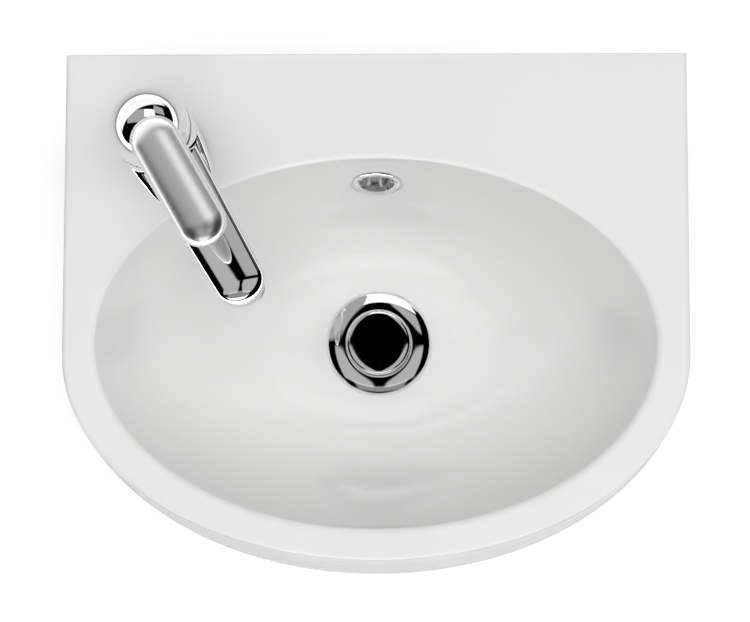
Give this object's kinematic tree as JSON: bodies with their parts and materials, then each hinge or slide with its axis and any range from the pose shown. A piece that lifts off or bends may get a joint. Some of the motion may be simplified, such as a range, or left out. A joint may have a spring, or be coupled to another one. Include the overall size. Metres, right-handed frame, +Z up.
{
  "type": "washbasin",
  "caption": "Wall-hung hand washbasin with an oval bowl, overflow, side-mounted single-lever mixer tap and click waste.",
  "frame": {"origin": "midpoint between the two wall fixing holes, on the wall face", "axes": "+Z up, +Y into the wall, -Y towards the user, +X to the user's right"},
  "size_m": [0.3604, 0.3005, 0.3094],
  "materials": {
    "glaze": "white gloss glaze",
    "chrome": "polished chrome plate",
    "brass": "machined, unplated",
    "steel": "zinc plated",
    "spring_steel": "drawn wire",
    "rubber": "matte",
    "white_plastic": "moulded",
    "grey_plastic": "moulded",
    "disc_ceramic": "lapped"
  },
  "bodies": {
    "basin_frame": {"basin": "glaze", "overflow_ring": "chrome", "overflow_insert": "white_plastic", "waste_body": "chrome", "waste_flange_seal": "rubber", "waste_lower_seal": "rubber", "waste_slip_washer": "white_plastic", "waste_back_nut": "brass", "click_barrel": "brass", "click_end_cap": "brass", "click_spring": "spring_steel", "tap_body": "chrome", "tap_base_gasket": "rubber", "mounting_stud": "steel", "horseshoe_rubber": "rubber", "clamp_washer": "steel", "mounting_nut": "brass", "aerator_housing": "chrome", "aerator_insert": "white_plastic", "aerator_seal": "rubber", "cartridge_base": "white_plastic", "port_seals": "rubber", "cartridge_housing": "white_plastic", "cartridge_nut": "brass", "fixed_disc": "disc_ceramic"},
    "tap_turret": {"turret": "grey_plastic", "pivot_pin": "steel"},
    "tap_lever": {"lever_handle": "chrome", "spindle": "brass", "lever_grub_screw": "steel", "index_plug": "grey_plastic"},
    "disc_slider": {"disc_carrier": "grey_plastic", "moving_disc": "disc_ceramic"},
    "waste_plug": {"plug_cap": "chrome", "plug_seal": "rubber", "plug_stem": "steel"}
  },
  "joints": [
    {"name": "tap_mix", "type": "hinge", "parent": "basin_frame", "child": "tap_turret", "pos_m": [-0.118, -0.0595, 0.15], "axis": [0, 0, 1], "range_deg": [-50, 50]},
    {"name": "lever_lift", "type": "hinge", "parent": "tap_turret", "child": "tap_lever", "pos_m": [-0.118, -0.0595, 0.15], "axis": [-0.866, -0.5, 0], "range_deg": [0, 25]},
    {"name": "disc_slide", "type": "slide", "parent": "tap_turret", "child": "disc_slider", "axis": [0.5, -0.866, 0], "range_m": [0, 0.0046]},
    {"name": "plug_slide", "type": "slide", "parent": "basin_frame", "child": "waste_plug", "axis": [0, 0, 1], "range_m": [-0.008, 0], "stiffness_N_per_m": 300, "springref_m": 0.006, "deforming": ["click_spring"]}
  ],
  "couplings": [
    {"joint": "disc_slide", "follows": "lever_lift", "m_per_rad": 0.0103}
  ]
}
